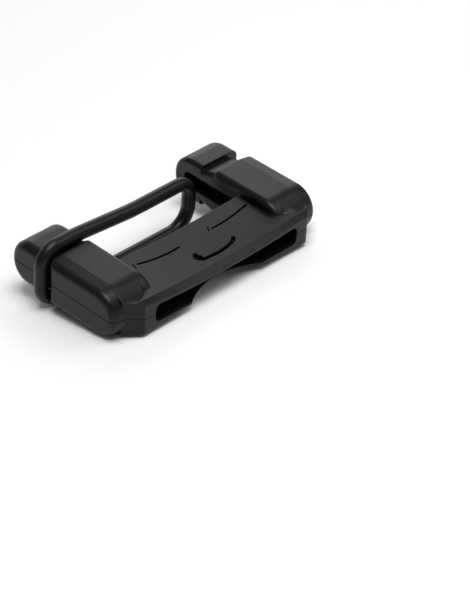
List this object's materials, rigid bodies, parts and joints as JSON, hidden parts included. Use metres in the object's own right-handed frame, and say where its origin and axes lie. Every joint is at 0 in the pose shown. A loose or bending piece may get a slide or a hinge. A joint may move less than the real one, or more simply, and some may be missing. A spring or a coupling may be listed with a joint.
{
  "type": "webbing adjuster clip",
  "caption": "U-shaped moulded clip that a strap is threaded through, with a through slot in its crossbar, two grooved arms and an elastic ring that keeps the strap in.",
  "frame": {"origin": "the strap slot's mouth in the crossbar's outer face, halfway along the slot, where the plane on which the two shells meet crosses it", "axes": "+X along the crossbar and the slot, +Y from the crossbar's outer face to the tips of the arms, +Z out of the front shell"},
  "size_m": [0.0748, 0.0422, 0.0194],
  "materials": {
    "shell": "fine satin moulding texture, black",
    "ring": "smooth black silicone rubber, slight sheen"
  },
  "bodies": {
    "clip": {"front_shell": "shell", "back_shell": "shell"},
    "ring": {"elastic_ring": "ring"}
  },
  "joints": [
    {"name": "ring_swing", "type": "hinge", "parent": "clip", "child": "ring", "pos_m": [-0.0208, 0.03, 0], "axis": [0, 0, 1], "range_deg": [-12, 55], "stiffness_Nm_per_rad": 0.003, "deforming": ["elastic_ring"]}
  ]
}
